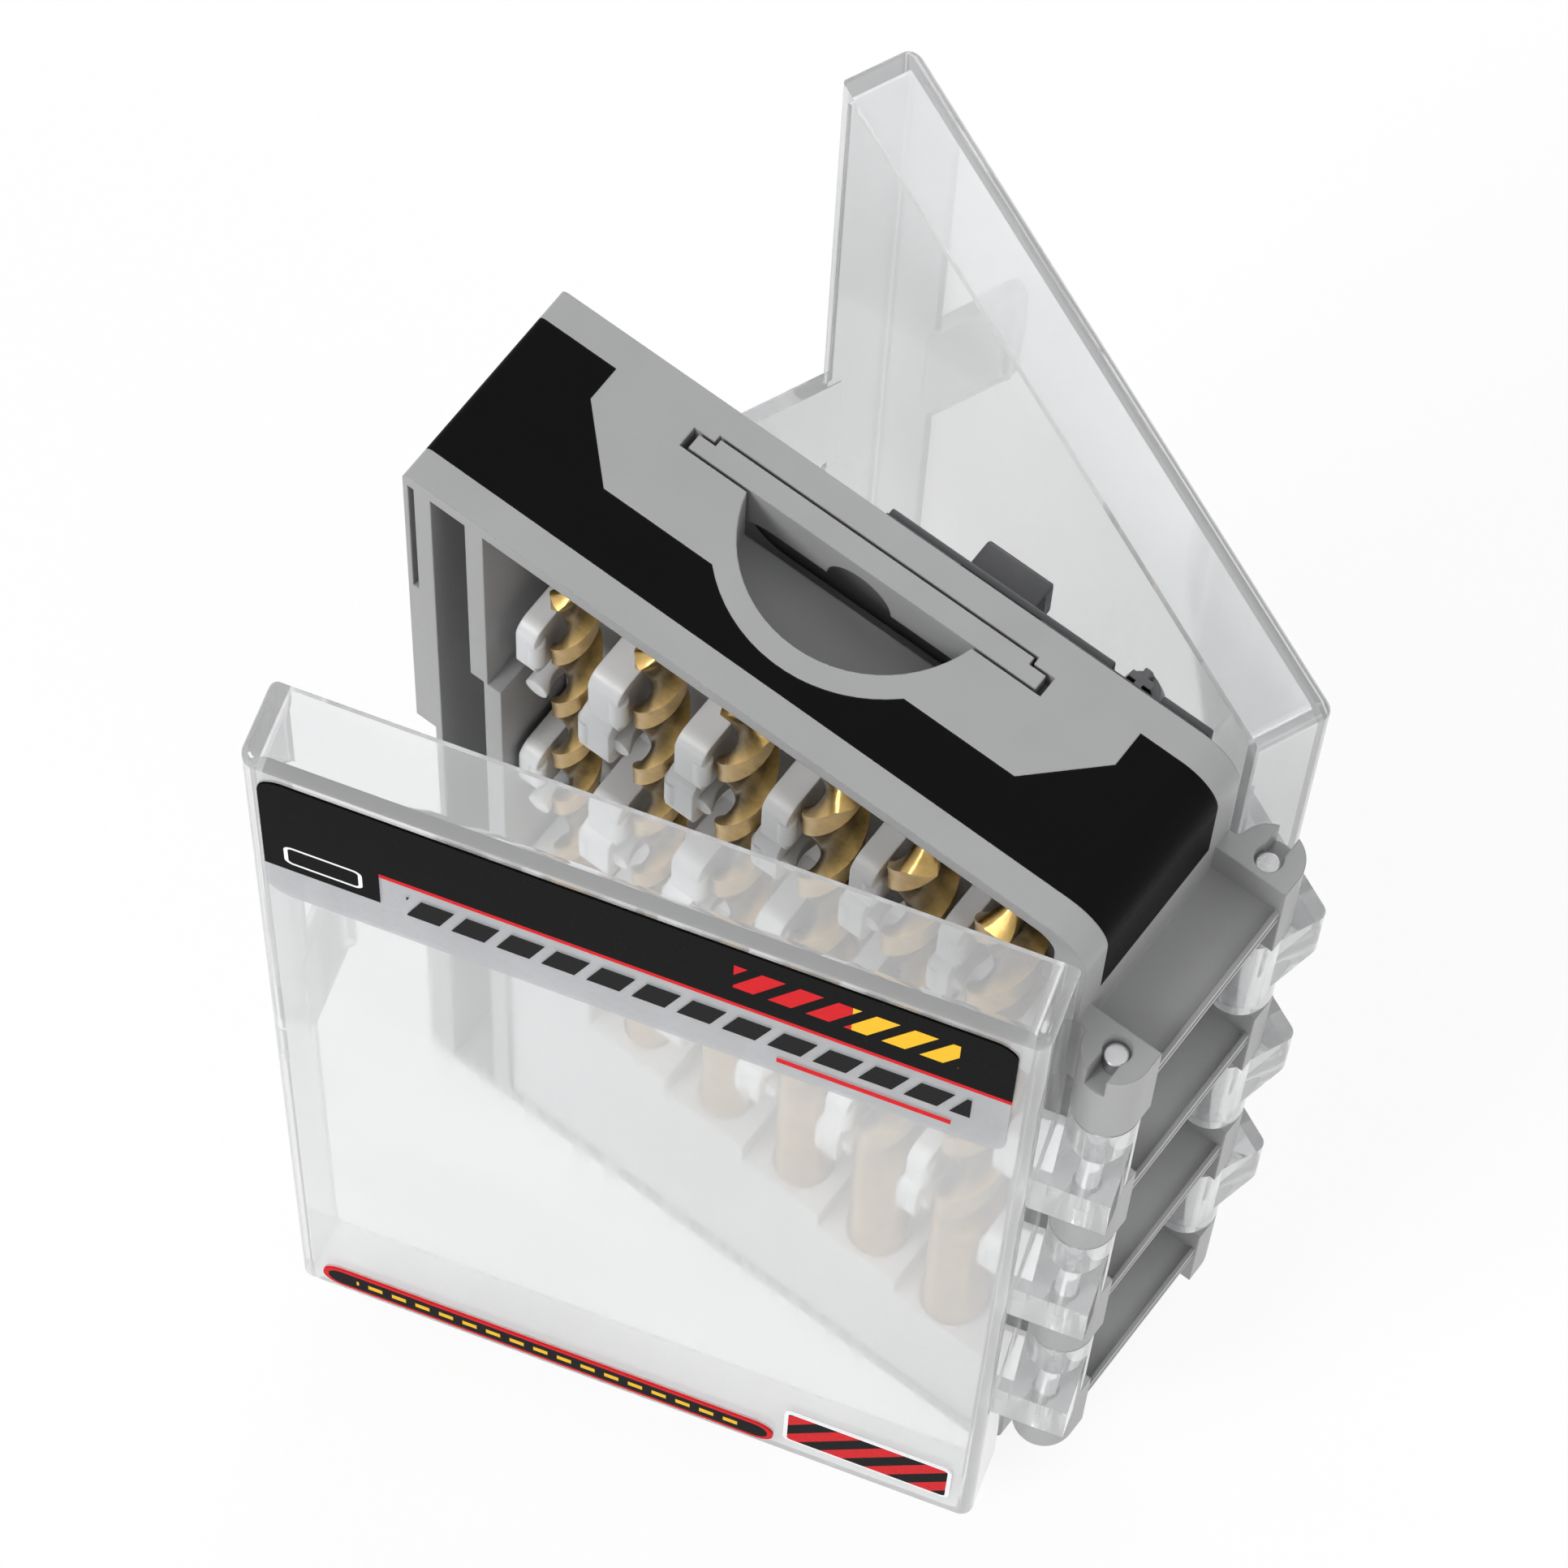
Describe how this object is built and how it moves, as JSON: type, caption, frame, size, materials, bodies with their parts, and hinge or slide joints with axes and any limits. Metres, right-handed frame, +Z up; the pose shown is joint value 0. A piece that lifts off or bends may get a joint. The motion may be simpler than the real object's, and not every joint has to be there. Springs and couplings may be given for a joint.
{
  "type": "drill bit case",
  "caption": "Two-sided pocket case for drill and driver bits: grey core, clear hinged lid on each face, lift-up hang tab, clips with gold twist drills and hex bits.",
  "frame": {"origin": "middle of the closed case's underside: halfway across the overall width of body and hinge ears, on the plane it stands on", "axes": "+Z up the case, +X from the latch side to the hinge side, -Y out of the face that holds the large drills"},
  "size_m": [0.0766, 0.0833, 0.127],
  "materials": {
    "grey_plastic": "satin moulded polypropylene, mid grey",
    "black_plastic": "black moulded inlay",
    "clear_plastic": "clear polished polystyrene",
    "label_print": null,
    "pin_steel": "bright drawn wire",
    "white_plastic": "off-white moulded clips",
    "pale_grey_plastic": "light grey moulded block",
    "dark_plastic": "dark grey moulded rack",
    "gold_steel": "gold nitride coating over ground steel",
    "bit_steel": "satin hardened steel",
    "black_steel": "black oxide"
  },
  "bodies": {
    "case": {"back_hinge_pin": "pin_steel", "bit_holder": "black_steel", "bit_rack": "dark_plastic", "case_body": "grey_plastic", "driver_bit_1": "bit_steel", "driver_bit_2": "bit_steel", "driver_bit_3": "bit_steel", "driver_bit_4": "bit_steel", "driver_bit_5": "bit_steel", "driver_bit_6": "bit_steel", "driver_bit_7": "bit_steel", "driver_bit_8": "bit_steel", "front_hinge_pin": "pin_steel", "holder_magnet": "bit_steel", "large_drill_1": "gold_steel", "large_drill_2": "gold_steel", "large_drill_3": "gold_steel", "large_drill_4": "gold_steel", "large_drill_5": "gold_steel", "large_drill_6": "gold_steel", "lower_clip_rail": "white_plastic", "middle_clip_rail": "white_plastic", "shank_block": "pale_grey_plastic", "small_drill_1": "gold_steel", "small_drill_2": "gold_steel", "small_drill_3": "gold_steel", "small_drill_4": "gold_steel", "small_drill_5": "gold_steel", "small_drill_6": "gold_steel", "small_drill_7": "gold_steel", "small_drill_base": "dark_plastic", "small_drill_comb": "dark_plastic", "top_inlay": "black_plastic", "upper_clip_rail": "white_plastic"},
    "front_lid": {"front_lid": "clear_plastic", "header_label": "label_print", "footer_label": "label_print", "badge_label": "label_print"},
    "back_lid": {"back_lid": "clear_plastic"},
    "hang_tab": {"hang_tab": "grey_plastic"}
  },
  "joints": [
    {"name": "front_lid_hinge", "type": "hinge", "parent": "case", "child": "front_lid", "pos_m": [0.0346, -0.0104, 0.0635], "axis": [0, 0, 1], "range_deg": [-16.5, 158.5]},
    {"name": "back_lid_hinge", "type": "hinge", "parent": "case", "child": "back_lid", "pos_m": [0.0346, 0.0104, 0.0635], "axis": [0, 0, -1], "range_deg": [-24, 151]},
    {"name": "hang_tab_slide", "type": "slide", "parent": "case", "child": "hang_tab", "axis": [0, 0, 1], "range_m": [0, 0.013]}
  ]
}
